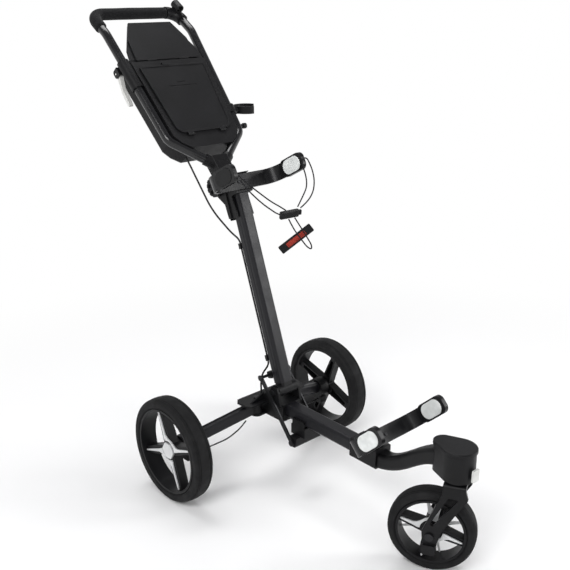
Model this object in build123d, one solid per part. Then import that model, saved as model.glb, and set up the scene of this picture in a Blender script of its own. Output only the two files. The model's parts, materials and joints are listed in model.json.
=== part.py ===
from build123d import *
import os
from math import atan2, cos, degrees, hypot, radians, sin, tan

os.makedirs("parts", exist_ok=True)

# Three-wheeled golf push cart, millimetres. +Z up, the caster toward -Y, the handle toward +Y.
# Shapes are built with the rear axle line at y = 0; save() moves them so that y = 0 is mid-length.

# ---- driving dimensions -------------------------------------------------------------------
rear_wheel_r = 145.0        # rolling radius of the rear wheels
rear_wheel_w = 56.0
rear_rim_r = 118.0          # seat of the rear tyre
track_half = 295.0          # middle of a rear wheel from the centre plane
front_wheel_r = 106.0
front_wheel_w = 50.0
front_rim_r = 84.0
axle_r = 6.0
bearing_r = 14.0
bearing_w = 8.0

swivel_y = -705.0           # caster axis, from the rear axle line
caster_trail = 50.0         # front axle behind the caster axis
caster_turn = 28.0          # how far the caster is turned as it stands
head_z0 = 254.0             # underside of the steering head
head_z1 = 322.0             # top of the steering head
head_r = 40.0

tube_w = 42.0               # section of the column and of the front leg
tube_d = 38.0
tube_wall = 2.5
tube_corner = 9.0
hinge_y = -124.0            # column fold pin
hinge_z = 271.0
column_lean = 19.5          # back from the vertical
column_start = 19.0         # tube ends, measured along the column from the fold pin
column_end = 556.0
casting_start = 486.0
barrel_r = 17.0
barrel_half = 33.0
cheek_gap = 0.4
cheek_t = 7.0
pin_r = 5.0

leg_rise_z = 217.0          # middle of the front leg at its root
front_leg_drop = 1.6        # fall of the front leg toward the caster, degrees
front_leg_root = -150.0
front_leg_end = -470.0
connector_y0 = -392.0
connector_y1 = -482.0

leg_pivot_x = 52.0          # upright pins that the rear legs fold about
leg_pivot_y = -64.0
leg_root_z = 212.0
leg_w = 26.0                # rear leg section
leg_h = 34.0
leg_wall = 2.0
collar_x = 252.0            # inner end of the wheel collar
collar_len = 8.0

tilt_s = 580.0              # handle pivot along the column, and behind its middle line
tilt_t = 45.0
handle_lean = 41.9
tube_r = 12.5               # handle tube
handle_wall = 1.8
grip_r = 16.5
handle_p = 16.0             # handle tubes in front of the pivot
knob_r = 28.0
disc_r = 26.0

cradle_half = 118.0         # bag cradle: arm to middle
cradle_corner = 40.0
cradle_back = -76.0        # middle of the band behind the middle of the pads
cradle_root = 36.0          # the end moulding starts here
cradle_reach = 54.0
cradle_band = 42.0
cradle_t = 6.0
paddle_t = 12.0
paddle_h = 48.0
pad_len = 70.0
pad_h = 40.0
pad_middle = -9.0
upper_pad = (-21.0, 858.0)  # middle of the upper pads, y and z
upper_tilt = 28.0
lower_pad = (-531.0, 316.0)
lower_tilt = 43.0

lid_q0 = 158.0              # console lid, along the handle
lid_q1 = 382.0
lid_half0 = 92.0
lid_half1 = 112.0
lid_t = 5.0
console_top = 31.0          # console rim in front of the pivot plane
console_deep = 54.0         # back of the console behind the pivot plane
flap_q1 = 532.0
cable_r = 2.5

gap = 0.3                   # between pieces that move past each other
seat = 0.1                  # between pieces that are fastened together
fit = 0.03                  # running fit, on the radius

# ---- worked-out places --------------------------------------------------------------------
front_turn = radians(caster_turn)
front_reach = (-swivel_y - caster_trail * cos(front_turn) + front_wheel_r * cos(front_turn)
               + front_wheel_w / 2 * sin(front_turn) - 1.5)
loop_bend_q = 510.0         # where the handle loop turns back
loop_angle = 15.0
loop_len = 90.0
loop_corner = 38.0

lean = radians(column_lean)
tilt = radians(handle_lean)
pivot_y = hinge_y + tilt_s * sin(lean) + tilt_t * cos(lean)
pivot_z = hinge_z + tilt_s * cos(lean) - tilt_t * sin(lean)
loop_dir = tilt + radians(loop_angle)
loop_y = (pivot_y + loop_bend_q * sin(tilt) - handle_p * cos(tilt)
          + loop_len * sin(loop_dir))
loop_z = (pivot_z + loop_bend_q * cos(tilt) + handle_p * sin(tilt)
          + loop_len * cos(loop_dir))
back_reach = loop_y + grip_r
axle_y = (front_reach - back_reach) / 2

column_plane = Plane(origin=(0, hinge_y, hinge_z), x_dir=(1, 0, 0), z_dir=(0, sin(lean), cos(lean)))
handle_plane = Plane(origin=(0, pivot_y, pivot_z), x_dir=(1, 0, 0), z_dir=(0, sin(tilt), cos(tilt)))
drop = radians(front_leg_drop)
leg_plane = Plane(origin=(0, front_leg_root, leg_rise_z), x_dir=(1, 0, 0),
                  z_dir=(0, -cos(drop), -sin(drop)))
caster_plane = Plane(origin=(0, swivel_y, 0), x_dir=(cos(front_turn), sin(front_turn), 0), z_dir=(0, 0, 1))


def wheel_plane(side, x, y, z):
    """Wheel frame: Z points out of the wheel's outer face, Y up."""
    return Plane(origin=(side * x, y, z), x_dir=(0, side, 0), z_dir=(side, 0, 0))


front_axle = caster_plane.from_local_coords(Vector(0, caster_trail, front_wheel_r))
front_plane = Plane(origin=front_axle, x_dir=(sin(front_turn), -cos(front_turn), 0),
                    z_dir=(-cos(front_turn), -sin(front_turn), 0))


def save(shape, name):
    moved = shape.moved(Location((0, axle_y, 0)))
    export_step(moved, f"parts/{name}.step")


def group(*items):
    return Compound([solid for item in items for solid in item.solids()])


def put(plane, shape):
    return shape.moved(plane.location)


def disc(r, z0, z1, x=0.0, y=0.0):
    return Pos(x, y, (z0 + z1) / 2) * Cylinder(r, z1 - z0)


def ring(r_out, r_in, z0, z1, x=0.0, y=0.0):
    return disc(r_out, z0, z1, x, y) - disc(r_in, z0 - 1, z1 + 1, x, y)


def block(x0, x1, y0, y1, z0, z1):
    return Pos((x0 + x1) / 2, (y0 + y1) / 2, (z0 + z1) / 2) * Box(x1 - x0, y1 - y0, z1 - z0)


def soft_block(x0, x1, y0, y1, z0, z1, r, axis=Axis.Z):
    body = block(x0, x1, y0, y1, z0, z1)
    return fillet(body.edges().filter_by(axis), r)


def x_pin(r, x0, x1, y=0.0, z=0.0):
    """A round pin along X."""
    return Pos((x0 + x1) / 2, y, z) * Rot(0, 90, 0) * Cylinder(r, x1 - x0)


def hull(*outlines):
    return make_hull([edge for outline in outlines for edge in outline.edges()])


def tube_section(w, d, corner, length, z0=0.0):
    return Pos(0, 0, z0) * extrude(RectangleRounded(w, d, corner), length)


def hollow_section(w, d, corner, wall, length, z0=0.0):
    outer = tube_section(w, d, corner, length, z0)
    inner = tube_section(w - 2 * wall, d - 2 * wall, corner - wall, length + 2, z0 - 1)
    return outer - inner


# ---- wheels -------------------------------------------------------------------------------
def tyre(r, w, rim_r):
    """Foamed rubber tyre: crowned tread with two shallow grooves near each shoulder."""
    half = w / 2
    crown = r - 1.5
    with BuildSketch(Plane.XZ) as section:
        with BuildLine():
            Polyline((rim_r + seat, -half + 5), (rim_r + 5, -half), (r - 12, -half))
            ThreePointArc((r - 12, -half), (r - 3.6, -half + 4.5), (crown, -half + 12))
            ThreePointArc((crown, -half + 12), (r, 0), (crown, half - 12))
            ThreePointArc((crown, half - 12), (r - 3.6, half - 4.5), (r - 12, half))
            Polyline((r - 12, half), (rim_r + 5, half), (rim_r + seat, half - 5),
                     (rim_r + seat, -half + 5))
        make_face()
    body = revolve(section.sketch, Axis.Z)
    for z in (half - 13, half - 8):
        body -= ring(r + 1, r - 2.8, z - 0.8, z + 0.8)
        body -= ring(r + 1, r - 2.8, -z - 0.8, -z + 0.8)
    return body


def arm_angles(first):
    return [first + 90 * n for n in range(4)]


spoke_face = 12.0
spoke_back = -14.0
hub_r = 22.0


def rim(r, w, first, hub_in, both_faces):
    """Dished rim: barrel, four deep tapered spokes and a hub bored for two bearings."""
    half = w / 2 - 5
    face = spoke_face
    back = -spoke_face if both_faces else spoke_back
    body = ring(r, r - 6, -half, half + 3)
    spoke_len = r - 4
    outline = Polygon((hub_r - 6, -15), (spoke_len, -9), (spoke_len, 9), (hub_r - 6, 15), align=None)
    spoke = Pos(0, 0, back) * extrude(outline, face - back)
    pocket = Polygon((hub_r + 14, -9), (r - 22, -5), (r - 22, 5), (hub_r + 14, 9), align=None)
    spoke -= Pos(0, 0, back - 1) * extrude(pocket, (face - back) * 0.7)
    for a in arm_angles(first):
        body += Rot(0, 0, a) * spoke
    body += disc(hub_r, hub_in, face)
    body -= disc(axle_r + 3, hub_in - 1, face + 1)
    body -= disc(bearing_r + seat, face - bearing_w - 4, face + 1)
    body -= disc(bearing_r + seat, hub_in - 1, hub_in + bearing_w)
    return body


def trim(r, first):
    """One bright angled strip over two neighbouring spokes, clear of the cap."""
    tip = r - 9
    arm = Polygon((20, -8), (tip, -3), (tip + 3, 0), (tip, 3), (20, 8), align=None)
    bend = hull(Pos(31, 3) * Circle(5), Pos(3, 31) * Circle(5), Pos(26, 26) * Circle(6))
    outline = arm + Rot(0, 0, 90) * arm + bend
    solid = extrude(outline, 4.0)
    solid -= disc(hub_r + 1.5, -1, 6)
    return Rot(0, 0, first) * (Pos(0, 0, spoke_face + seat) * solid)


def hub_cap():
    cap = Pos(0, 0, spoke_face + seat) * extrude(RegularPolygon(hub_r - 0.6, 6), 6)
    top = cap.faces().sort_by(Axis.Z)[-1]
    return chamfer(top.edges(), 1.6)


def bearing(z0):
    return ring(bearing_r, axle_r + fit, z0, z0 + bearing_w)


# ---- folding column -----------------------------------------------------------------------
def column_tube():
    body = hollow_section(tube_w, tube_d, tube_corner, tube_wall, column_end - column_start, column_start)
    ridge = extrude(Polygon((-4, -1), (4, -1), (2, 1.2), (-2, 1.2), align=None),
                    casting_start - column_start - 40)
    for side in (-1, 1):
        body += Pos(side * tube_w / 2, 0, column_start + 30) * (Rot(0, 0, -side * 90) * ridge)
    return put(column_plane, body)


def hinge_barrel():
    """Lower end casting: a barrel on the fold pin and a plug up inside the column tube."""
    body = x_pin(barrel_r, -barrel_half, barrel_half)
    plug_w = tube_w - 2 * tube_wall - 2 * seat
    plug_d = tube_d - 2 * tube_wall - 2 * seat
    body += tube_section(plug_w, plug_d, tube_corner - tube_wall, column_start + 30, 8)
    body -= x_pin(pin_r + fit, -barrel_half - 1, barrel_half + 1)
    return put(column_plane, body)


link_t = 30.0               # upper link pin behind and along the column
link_s = 44.0
link_x0 = 47.0              # inner face of the link bars
link_bar_t = 4.0
link_bar_w = 13.0
slider_y = -204.0           # lower link pin
slider_z = 151.0
link_pin_r = 4.0
lug_half = 20.0


def link_lug():
    """Ear behind the column foot that carries the two fold links."""
    body = block(-lug_half, lug_half, tube_d / 2 + seat, link_t + 8, link_s - 10, link_s + 10)
    body = fillet(body.edges().filter_by(Axis.X).sort_by(Axis.Y)[-2:], 6)
    body -= x_pin(link_pin_r + fit, -link_x0 - 1, link_x0 + 1, link_t, link_s)
    return put(column_plane, body)


link_top = column_plane.from_local_coords(Vector(0, link_t, link_s))
link_run_y = slider_y - link_top.Y
link_run_z = slider_z - link_top.Z
link_len = hypot(link_run_y, link_run_z)
link_plane = Plane(origin=link_top, x_dir=(1, 0, 0), z_dir=(0, link_run_y / link_len, link_run_z / link_len))


def fold_links():
    outline = SlotCenterToCenter(link_len, link_bar_w)
    flat = extrude(outline, link_bar_t)
    upright = Rot(0, -90, 0) * flat
    low = upright.bounding_box()
    bars = []
    for side in (-1, 1):
        x0 = link_x0 if side > 0 else -link_x0 - link_bar_t
        bars.append(Pos(x0 - low.min.X, 0, link_len / 2 - (low.min.Z + low.max.Z) / 2) * upright)
    reach = link_x0 + link_bar_t + 3
    pin = x_pin(link_pin_r, -reach, reach) + x_pin(8, link_x0 + link_bar_t, reach) \
        + x_pin(8, -reach, -link_x0 - link_bar_t)
    body = bars[0] + bars[1] + pin
    for side in (-1, 1):
        body += x_pin(8, min(side * (link_x0 + link_bar_t), side * reach),
                      max(side * (link_x0 + link_bar_t), side * reach), 0, link_len)
    return put(link_plane, body)


def fold_slider():
    """Block under the front leg that the links push along as the cart folds."""
    top = leg_rise_z - tube_d / 2 - 4.5
    half = link_x0 - gap
    body = block(-half, half, slider_y - 14, slider_y + 14, slider_z - 12, slider_z + 16)
    body = fillet(body.edges().filter_by(Axis.X).sort_by(Axis.Z)[:2], 9)
    body += block(-tube_w / 2 - 6, tube_w / 2 + 6, slider_y - 26, slider_y + 26, slider_z + 14, top)
    body += block(-tube_w / 2 - 6, -tube_w / 2 - gap, slider_y - 22, slider_y + 22, top - 1, top + 18)
    body += block(tube_w / 2 + gap, tube_w / 2 + 6, slider_y - 22, slider_y + 22, top - 1, top + 18)
    return body


casting_top = 602.0
clevis_half = 33.0
clevis_t = 14.0
tilt_bolt_r = 5.0


def top_casting():
    """Head of the column: a sleeve on the tube that leans back into two ears for the handle."""
    flank = tube_w / 2 + 8
    front = -tube_d / 2 - 7
    outline = make_face(Polyline((-8, casting_start), (-2, column_end - 12), (front, column_end - 8),
                                 (front, casting_top), (front + 16, casting_top),
                                 (tube_d / 2 + 4, tilt_s + 4), (tilt_t, tilt_s + 26), (tilt_t + 22, tilt_s + 14),
                                 (tilt_t + 24, tilt_s - 12), (tilt_t + 10, tilt_s - 26),
                                 (tube_d / 2 + 10, casting_start + 40), (tube_d / 2 + 8, casting_start + 12),
                                 (tube_d / 2 + 7, casting_start), close=True))
    body = Pos(-clevis_half, 0, 0) * extrude(Plane.YZ * outline, 2 * clevis_half)
    body -= tube_section(tube_w + 2 * seat, tube_d + 2 * seat, tube_corner, column_end - casting_start + 1,
                         casting_start - 1)
    swing_r = 30.0
    body -= x_pin(swing_r, -clevis_half + clevis_t, clevis_half - clevis_t, tilt_t, tilt_s)
    body -= block(-clevis_half + clevis_t, clevis_half - clevis_t, tilt_t - 6, tilt_t + 60, tilt_s - swing_r + 6,
                  tilt_s + 60)
    body -= block(-clevis_half + clevis_t, clevis_half - clevis_t, tube_d / 2 - 9, tilt_t + 60, tilt_s - 4,
                  tilt_s + 60)
    for side in (-1, 1):
        body -= block(side * (flank + 20) - 20, side * (flank + 20) + 20, front - 5, tube_d / 2 - 4,
                      casting_start - 5, casting_top + 5)
    body -= x_pin(tilt_bolt_r + seat, -60, 60, tilt_t, tilt_s)
    outline = make_face(Polyline((tube_d / 2 + 5, casting_start + 14), (tube_d / 2 + 9, casting_start + 36),
                                 (tube_d / 2 + 17, casting_start + 44), (tube_d / 2 + 20, casting_start + 38),
                                 (tube_d / 2 + 13, casting_start - 6), close=True))
    body += Pos(-24, 0, 0) * extrude(Plane.YZ * outline, 22)
    body = body.solids().sort_by(SortBy.VOLUME)[-1]
    body = put(column_plane, body)
    recess = block(-60, 60, -cradle_back - 60, -cradle_back + cradle_t / 2 + seat, -cradle_band / 2 - 2,
                   cradle_band / 2 + 2)
    return body - put(upper_cradle, recess) - cradle_screw_holes(upper_cradle)


def tilt_bolt():
    body = x_pin(tilt_bolt_r, -clevis_half - 4, clevis_half + 4, tilt_t, tilt_s)
    return put(column_plane, body)


def tilt_knob():
    """Five-spoked clamping knob on the left of the tilt joint."""
    x0 = clevis_half + seat
    body = x_pin(knob_r, -x0 - 13, -x0, 0, 0)
    for n in range(5):
        a = radians(72 * n + 18)
        body -= x_pin(5.5, -x0 - 14, -x0 - 7, 16 * cos(a), 16 * sin(a))
    for n in range(12):
        a = radians(30 * n)
        body -= x_pin(3.2, -x0 - 14, -x0 + 1, (knob_r + 1.2) * cos(a), (knob_r + 1.2) * sin(a))
    body -= x_pin(tilt_bolt_r + fit, -x0 - 7, -x0 + 1)
    return put(column_plane, Pos(0, tilt_t, tilt_s) * body)


def tilt_disc():
    """Toothed clamping plate on the right of the tilt joint, locked on the bolt's end."""
    x0 = clevis_half + seat
    body = x_pin(disc_r, x0, x0 + 6) + x_pin(14, x0 + 5, x0 + 11)
    for n in range(24):
        a = radians(15 * n)
        body -= x_pin(1.6, x0 - 1, x0 + 7, (disc_r + 0.6) * cos(a), (disc_r + 0.6) * sin(a))
    body -= x_pin(tilt_bolt_r + seat, x0 - 1, x0 + 7)
    return put(column_plane, Pos(0, tilt_t, tilt_s) * body)


# ---- bag cradles --------------------------------------------------------------------------
def cradle_frame(pad, slope):
    """Local X across, Y rearward, Z along the bag; the middle of the pads is the origin."""
    a = radians(slope)
    return Plane(origin=(0, pad[0], pad[1]), x_dir=(1, 0, 0), z_dir=(0, sin(a), cos(a)))


upper_cradle = cradle_frame(upper_pad, upper_tilt)
lower_cradle = cradle_frame(lower_pad, lower_tilt)


def cradle_band_solid(plane):
    """U-shaped band, open toward the bag, with two screw holes through its back."""
    back = -cradle_back
    outer = cradle_half + cradle_t / 2
    inner = cradle_half - cradle_t / 2
    shape = RectangleRounded(2 * outer, 4 * cradle_corner, cradle_corner + cradle_t / 2)
    hole = RectangleRounded(2 * inner, 4 * cradle_corner - 2 * cradle_t, cradle_corner - cradle_t / 2)
    centre = back + cradle_t / 2 - 2 * cradle_corner
    loop = Pos(0, centre) * (shape - hole)
    band = Pos(0, 0, -cradle_band / 2) * extrude(loop, cradle_band)
    band &= block(-200, 200, cradle_root + seat, 200, -60, 60)
    return put(plane, band) - cradle_screw_holes(plane)


def cradle_screw_holes(plane):
    holes = [Pos(x, -cradle_back, 0) * (Rot(90, 0, 0) * Cylinder(2.6 + seat, 40)) for x in (-12, 12)]
    return put(plane, group(*holes))


def cradle_paddles(plane):
    """Moulded end of each arm, a tongue on the band and a pocket for the pads."""
    paddles = []
    for side in (-1, 1):
        length = cradle_root + cradle_reach
        middle = (cradle_root - cradle_reach) / 2
        plate = RectangleRounded(length, paddle_h, 17)
        body = extrude(plate, paddle_t)
        pocket = SlotOverall(pad_len + 2 * seat, pad_h + 2 * seat)
        body -= Pos(pad_middle - middle, 0, 0) * (Pos(0, 0, paddle_t - 3) * extrude(pocket, 4))
        body -= Pos(pad_middle - middle, 0, 0) * (Pos(0, 0, -1) * extrude(pocket, 4))
        turn = Plane(origin=(cradle_half - paddle_t / 2, middle, 0), x_dir=(0, 1, 0), z_dir=(1, 0, 0))
        piece = put(turn, body)
        if side < 0:
            piece = mirror(piece, Plane.YZ)
        paddles.append(piece)
    return put(plane, group(*paddles))


def cradle_pads(plane):
    """Pale rubber ovals on both faces of each arm, proud of the paddle."""
    pads = []
    for side in (-1, 1):
        for face in (-1, 1):
            body = extrude(SlotOverall(pad_len, pad_h), 4.2)
            body = fillet(body.faces().sort_by(Axis.Z)[-1].edges(), 1.2)
            if face < 0:
                body = Rot(180, 0, 0) * body
            base = face * (paddle_t / 2 - 3 + seat)
            turn = Plane(origin=(side * cradle_half + base, pad_middle, 0), x_dir=(0, 1, 0), z_dir=(1, 0, 0))
            pads.append(put(turn, body))
    return put(plane, group(*pads))


def cradle_screws(plane):
    """Two screws through the back of a cradle, heads inside the U."""
    screws = []
    for x in (-12, 12):
        shank = Pos(x, -cradle_back + 2, 0) * (Rot(90, 0, 0) * Cylinder(2.6, 12))
        head = Pos(x, -cradle_back - cradle_t / 2 - 1.1 - seat, 0) * (Rot(90, 0, 0) * Cylinder(4.6, 2.2))
        screws.append(put(plane, shank + head))
    return screws


# ---- frame: hub, front leg, gooseneck and steering head -----------------------------------
wing_z0 = leg_root_z + leg_h / 2 + gap + 1.5
wing_t = 6.0
floor_z1 = leg_root_z - leg_h / 2 - gap - 1.5
core_half = 32.0
eye_r = 15.0


def hub_casting():
    """Centre casting: a core, plates above and below the leg eyes, and two cheeks for the fold pin."""
    wing = make_face(Polyline((-108, -84), (-98, -98), (98, -98), (108, -84), (108, -48), (98, -36),
                              (-98, -36), (-108, -48), close=True))
    body = Pos(0, 0, wing_z0) * extrude(wing, wing_t)
    under = hull(Pos(-leg_pivot_x, leg_pivot_y) * Circle(eye_r + 2), Pos(leg_pivot_x, leg_pivot_y) * Circle(eye_r + 2))
    body += Pos(0, 0, floor_z1 - wing_t) * extrude(under, wing_t)
    body += block(-core_half, core_half, front_leg_root, -38, floor_z1 - wing_t, wing_z0 + wing_t)
    foot = wing_z0 + wing_t - 1
    cheek = make_face(Polyline((front_leg_root + 2, foot), (hinge_y - 17, hinge_z), (hinge_y - 10, hinge_z + 14),
                               (hinge_y + 10, hinge_z + 14), (hinge_y + 17, hinge_z), (-62, foot), close=True))
    inner = barrel_half + cheek_gap
    for x in (-inner - cheek_t, inner):
        body += Pos(x, 0, 0) * extrude(Plane.YZ * cheek, cheek_t)
        body += block(x, x + cheek_t, front_leg_root, -62, wing_z0, foot + 0.5)
    for side in (-1, 1):
        rib = make_face(Polyline((side * (inner + cheek_t - 1), foot + 22), (side * (inner + cheek_t - 1), foot),
                                 (side * 92, foot), close=True))
        body += Pos(0, -78, 0) * (Rot(90, 0, 0) * extrude(rib, 5))
        body -= disc(pin_r + seat, floor_z1 - 20, foot + 20, side * leg_pivot_x, leg_pivot_y)
    body -= x_pin(pin_r + seat, -60, 60, hinge_y, hinge_z)
    plug = tube_section(tube_w - 2 * tube_wall - 2 * seat, tube_d - 2 * tube_wall - 2 * seat,
                        tube_corner - tube_wall, 34, -1)
    body += put(leg_plane, plug)
    body -= x_pin(barrel_r + 1.0, -barrel_half - 0.2, barrel_half + 0.2, hinge_y, hinge_z)
    return body


def pivot_pins():
    """Fold pin of the column and the two upright pins of the rear legs, each with its heads."""
    head0 = barrel_half + cheek_gap + cheek_t + seat
    fold = x_pin(pin_r, -head0 - 3, head0 + 3, hinge_y, hinge_z)
    for side in (-1, 1):
        hexagon = extrude(RegularPolygon(8, 6), 5)
        fold += Pos(side * head0, hinge_y, hinge_z) * (Rot(0, side * 90, 0) * hexagon)
    pins = [fold]
    top = wing_z0 + wing_t + seat
    low = floor_z1 - wing_t - seat
    for side in (-1, 1):
        x = side * leg_pivot_x
        pin = disc(pin_r, low - 2, top + 2, x, leg_pivot_y)
        pin += disc(8.5, top, top + 4, x, leg_pivot_y) + disc(8.5, low - 4, low, x, leg_pivot_y)
        pins.append(pin)
    return group(*pins)


leg_length = front_leg_root - front_leg_end


def front_leg():
    body = hollow_section(tube_w, tube_d, tube_corner, tube_wall, leg_length - 0.8, 0.8)
    return put(leg_plane, body)


def front_connector():
    """Box collar clamped round the front end of the leg."""
    z0 = front_leg_root - connector_y0
    z1 = front_leg_root - connector_y1
    outer = soft_block(-tube_w / 2 - 7, tube_w / 2 + 7, -tube_d / 2 - 6, tube_d / 2 + 9, z0, z1, 5)
    outer -= tube_section(tube_w + 2 * seat, tube_d + 2 * seat, tube_corner, leg_length - z0 + 1, z0 - 1)
    outer -= tube_section(tube_w - 2 * tube_wall, tube_d - 2 * tube_wall, tube_corner - tube_wall, z1, z0)
    outer = chamfer(outer.faces().sort_by(Axis.Z)[0].outer_wire().edges(), 3)
    body = put(leg_plane, outer)
    face = -cradle_back + cradle_t / 2 + seat
    low = lower_cradle.from_local_coords(Vector(0, face, -cradle_band / 2 + 3))
    high = lower_cradle.from_local_coords(Vector(0, face, cradle_band / 2 - 3))
    base = leg_rise_z + tube_d / 2 - 3
    post = make_face(Polyline((low.Y, low.Z), (high.Y, high.Z), (high.Y + 15, high.Z - 5),
                              (high.Y + 27, base), (connector_y1 + 1, base), close=True))
    body += Pos(-17, 0, 0) * extrude(Plane.YZ * post, 34)
    body -= put(leg_plane, tube_section(tube_w + 2 * seat, tube_d + 2 * seat, tube_corner, leg_length - z0 + 1, z0 - 1))
    return body - cradle_screw_holes(lower_cradle)


goose_start = leg_length + 1.0


def gooseneck():
    """Moulded arm that rises from the leg to the steering head, waisted in the middle."""
    start = leg_plane.from_local_coords(Vector(0, 0, goose_start + 12))
    head_y = swivel_y + head_r
    stations = [(start.Y, start.Z - 4, 46, 42, -front_leg_drop), (start.Y - 38, start.Z + 4, 40, 38, 24),
                (start.Y - 88, start.Z + 34, 38, 38, 36), (head_y + 5, (head_z0 + head_z1) / 2, 44, 48, 24)]
    sections = []
    for y, z, w, h, pitch in stations:
        a = radians(pitch)
        plane = Plane(origin=(0, y, z), x_dir=(1, 0, 0), z_dir=(0, -cos(a), sin(a)))
        sections.append(plane * RectangleRounded(w, h, 11))
    body = loft(sections)
    tail = tube_section(tube_w - 2 * tube_wall - 2 * seat, tube_d - 2 * tube_wall - 2 * seat,
                        tube_corner - tube_wall, 50, goose_start - 35)
    body += put(leg_plane, tail)
    housing = Pos(0, swivel_y, head_z0 - 20) * extrude(head_outline(seat), head_z1 - head_z0 + 40)
    return body - housing


def head_outline(margin):
    return hull(Circle(head_r + margin), Pos(0, head_r + 2) * Circle(24 + margin))


def steering_head():
    """Oval housing round the caster bearings, bored right through."""
    body = Pos(0, 0, head_z0) * extrude(head_outline(0), head_z1 - head_z0)
    top = body.faces().sort_by(Axis.Z)[-1]
    body = fillet(top.outer_wire().edges(), 3)
    body -= disc(kingpin_r + 3, head_z0 - 1, head_z1 + 1)
    body -= disc(bearing_r + seat, head_z0 - 1, head_z0 + bearing_w + 2)
    body -= disc(bearing_r + seat, head_z1 - bearing_w - 8, head_z1 + 1)
    body -= Rot(0, 0, 90) * x_pin(lock_r + fit, -60, -kingpin_r, 0, lock_z)
    body = put(Plane(origin=(0, swivel_y, 0)), body)
    return body


kingpin_r = 8.0
lock_r = 4.0
lock_z = head_z0 + 22


def head_cap():
    """Flat lid on the steering head, its rim standing over the housing."""
    body = Pos(0, 0, head_z1 + seat) * extrude(head_outline(2.5), 9)
    body = fillet(body.faces().sort_by(Axis.Z)[-1].outer_wire().edges(), 3)
    return put(Plane(origin=(0, swivel_y, 0)), body)


def swivel_bearings():
    low = ring(bearing_r, kingpin_r + fit, head_z0 + seat, head_z0 + bearing_w)
    high = ring(bearing_r, kingpin_r + fit, head_z1 - bearing_w - 7, head_z1 - 7)
    return put(Plane(origin=(0, swivel_y, 0)), group(low, high))


def swivel_lock():
    """Plunger with a pale plate, at the front of the housing, that holds the caster straight."""
    body = x_pin(lock_r, -head_r - 6, -kingpin_r - 5.0, 0, lock_z)
    plate = soft_block(-head_r - 10, -head_r - 5, -11, 11, lock_z - 15, lock_z + 15, 3, Axis.X)
    return put(Plane(origin=(0, swivel_y, 0)), Rot(0, 0, 90) * (body + plate))


# ---- caster -------------------------------------------------------------------------------
crown_z1 = head_z0 - 0.6
crown_z0 = crown_z1 - 14
fork_in = front_wheel_w / 2 + 7.0
fork_t = 9.0


def caster_fork():
    """Crown and two open A-frame arms with a ribbed foot below each axle boss."""
    body = disc(30, crown_z0, crown_z1)
    body = fillet(body.edges().filter_by(GeomType.CIRCLE).sort_by(Axis.Z)[0], 4)
    body += disc(34, crown_z1 - 4, crown_z1)
    axle_z = front_wheel_r
    shoulder = crown_z0 + 1
    arm = make_face(Polyline((-26, shoulder), (-32, shoulder - 22), (caster_trail - 26, axle_z + 16),
                             (caster_trail - 17, axle_z - 22), (caster_trail + 16, axle_z - 22),
                             (caster_trail + 19, axle_z + 12), (28, shoulder - 22), (26, shoulder), close=True))
    window = make_face(Polyline((-12, shoulder - 24), (12, shoulder - 24), (caster_trail + 1, axle_z + 34),
                                (caster_trail - 6, axle_z + 28), close=True))
    window = fillet(window.vertices(), 3)
    for side in (-1, 1):
        x0 = fork_in if side > 0 else -fork_in - fork_t
        plate = Pos(x0, 0, 0) * extrude(Plane.YZ * arm, fork_t)
        plate -= Pos(x0 - 1, 0, 0) * extrude(Plane.YZ * window, fork_t + 2)
        body += plate
        low = fork_in - 2 if side > 0 else -fork_in - fork_t - 7
        foot = block(low, low + fork_t + 9, caster_trail - 17, caster_trail + 16, axle_z - 46, axle_z - 21)
        foot = fillet(foot.edges().filter_by(Axis.X), 5)
        body += foot
    half = fork_in + fork_t
    shoulder_block = block(-half, half, -26, 26, shoulder - 4, crown_z1 - 4)
    body += fillet(shoulder_block.edges().filter_by(Axis.Y).sort_by(Axis.Z)[-2:], 8)
    body -= disc(kingpin_r + seat, crown_z0 - 20, crown_z1 + 5)
    body -= x_pin(axle_r + seat, -60, 60, caster_trail, axle_z)
    return put(caster_plane, body)


def caster_pins():
    """Kingpin pressed in the crown, and the front axle with a head at each end."""
    king = disc(kingpin_r, crown_z0 + 1, head_z1 - 4)
    end = fork_in + fork_t + seat
    axle = x_pin(axle_r, -end - 3, end + 3, caster_trail, front_wheel_r)
    for side in (-1, 1):
        axle += x_pin(10, min(side * end, side * (end + 5)), max(side * end, side * (end + 5)),
                      caster_trail, front_wheel_r)
    return put(caster_plane, group(king, axle))


# ---- rear legs ----------------------------------------------------------------------------
leg_run = Vector(collar_x - leg_pivot_x, -leg_pivot_y + 2, rear_wheel_r + 3 - leg_root_z)
brake_r = 22.0              # circle of the brake slots
brake_pin_r = 3.0
collar_r = 30.0
hub_in_rear = -30.0
collar_face = track_half + hub_in_rear - gap - 0.7


def leg_frame(side):
    direction = Vector(side * leg_run.X, leg_run.Y, leg_run.Z).normalized()
    across = Vector(direction.Y, -direction.X, 0).normalized() * side
    return Plane(origin=(side * leg_pivot_x, leg_pivot_y, leg_root_z), x_dir=across, z_dir=direction)


def rear_leg(side):
    plane = leg_frame(side)
    body = hollow_section(leg_w, leg_h, 8, leg_wall, leg_run.length + 30, 10)
    groove = block(-3, 3, leg_h / 2 - 1.2, leg_h / 2 + 2, 0, 300)
    body -= groove
    body = put(plane, body)
    keep0 = leg_pivot_x + eye_r + 4
    keep1 = collar_face - 22 - seat
    window = block(min(side * keep0, side * keep1), max(side * keep0, side * keep1), -200, 100, 0, 400)
    return body & window


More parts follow.
